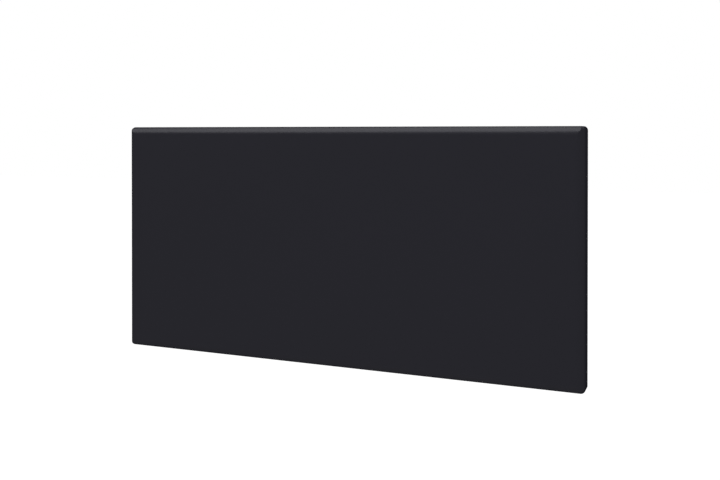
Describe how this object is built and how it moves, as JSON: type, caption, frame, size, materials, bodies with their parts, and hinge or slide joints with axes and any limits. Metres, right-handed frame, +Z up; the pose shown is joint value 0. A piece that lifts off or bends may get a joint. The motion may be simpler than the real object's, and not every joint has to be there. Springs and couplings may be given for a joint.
{
  "type": "wall-hung electric convector heater",
  "caption": "Wide, plain-fronted electric convector heater that hangs on its own wall bracket, with a warm air grille and controls on top.",
  "frame": {"origin": "centre of the rectangle of four wall screw holes, on the wall plane behind the bracket", "axes": "+X to the right seen from the room, +Y into the wall, +Z up; the front panel faces -Y"},
  "size_m": [0.75, 0.086, 0.37],
  "materials": {
    "anthracite_paint": "fine satin powder coat",
    "zinc_steel": "zinc plated",
    "bright_steel": "bright",
    "element_aluminium": "extruded",
    "black_plastic": "fine texture",
    "button_plastic": "satin",
    "white_plastic": "satin",
    "silicone": "matte",
    "dark_lens": "gloss",
    "board_laminate": "satin",
    "coil_yellow": "satin",
    "terminal_brass": "machined",
    "lead_brown": "satin",
    "lead_blue": "satin"
  },
  "bodies": {
    "wall_bracket": {"bracket_upright_left": "zinc_steel", "bracket_upright_right": "zinc_steel", "bracket_rail_upper": "zinc_steel", "bracket_rail_lower": "zinc_steel", "bracket_rivets": "bright_steel", "latch_guide_left": "black_plastic", "latch_guide_right": "black_plastic", "latch_spring_left": "bright_steel", "latch_spring_right": "bright_steel"},
    "latch_left": {"latch_left": "black_plastic"},
    "latch_right": {"latch_right": "black_plastic"},
    "button_power": {"button_power": "button_plastic"},
    "button_minus": {"button_minus": "button_plastic"},
    "button_plus": {"button_plus": "button_plastic"},
    "switch_rocker": {"switch_rocker": "button_plastic"},
    "heater": {"front_panel": "anthracite_paint", "rear_casing": "anthracite_paint", "front_stiffener": "zinc_steel", "casing_screws": "zinc_steel", "back_screws": "zinc_steel", "element_hanger_left": "zinc_steel", "element_hanger_right": "zinc_steel", "shield_screws": "zinc_steel", "cutout_bracket": "zinc_steel", "control_screws": "zinc_steel", "earth_nut": "zinc_steel", "element_rod": "bright_steel", "element_terminals": "bright_steel", "heat_shield": "bright_steel", "earth_stud": "bright_steel", "element_profile": "element_aluminium", "outlet_grille": "black_plastic", "overheat_cutout": "black_plastic", "control_housing": "black_plastic", "control_bezel": "black_plastic", "tact_switches": "black_plastic", "relay": "black_plastic", "sensor_holder": "black_plastic", "room_sensor": "black_plastic", "switch_body": "black_plastic", "cable_gland": "black_plastic", "gland_nut": "black_plastic", "display_module": "white_plastic", "terminal_block": "white_plastic", "element_bush_left": "silicone", "element_bush_right": "silicone", "display_window": "dark_lens", "circuit_board": "board_laminate", "power_supply": "coil_yellow", "terminal_screws": "terminal_brass", "element_lead_right": "lead_brown", "switch_lead": "lead_brown", "element_lead_left": "lead_blue", "cutout_lead": "lead_blue", "control_lead": "lead_blue"}
  },
  "joints": [
    {"name": "heater_lift", "type": "slide", "parent": "wall_bracket", "child": "heater", "axis": [0, 0, 1], "range_m": [0, 0.01]},
    {"name": "latch_left_press", "type": "slide", "parent": "wall_bracket", "child": "latch_left", "axis": [0, 0, -1], "range_m": [0, 0.006], "stiffness_N_per_m": 300, "springref_m": -0.004, "deforming": ["latch_spring_left"]},
    {"name": "latch_right_press", "type": "slide", "parent": "wall_bracket", "child": "latch_right", "axis": [0, 0, -1], "range_m": [0, 0.006], "stiffness_N_per_m": 300, "springref_m": -0.004, "deforming": ["latch_spring_right"]},
    {"name": "button_power_press", "type": "slide", "parent": "heater", "child": "button_power", "axis": [0, 0, -1], "range_m": [0, 0.0008], "stiffness_N_per_m": 400, "springref_m": -0.001},
    {"name": "button_minus_press", "type": "slide", "parent": "heater", "child": "button_minus", "axis": [0, 0, -1], "range_m": [0, 0.0008], "stiffness_N_per_m": 400, "springref_m": -0.001},
    {"name": "button_plus_press", "type": "slide", "parent": "heater", "child": "button_plus", "axis": [0, 0, -1], "range_m": [0, 0.0008], "stiffness_N_per_m": 400, "springref_m": -0.001},
    {"name": "mains_switch_rock", "type": "hinge", "parent": "heater", "child": "switch_rocker", "pos_m": [0.362, -0.036, -0.06], "axis": [0, 1, 0], "range_deg": [0, 20]}
  ]
}
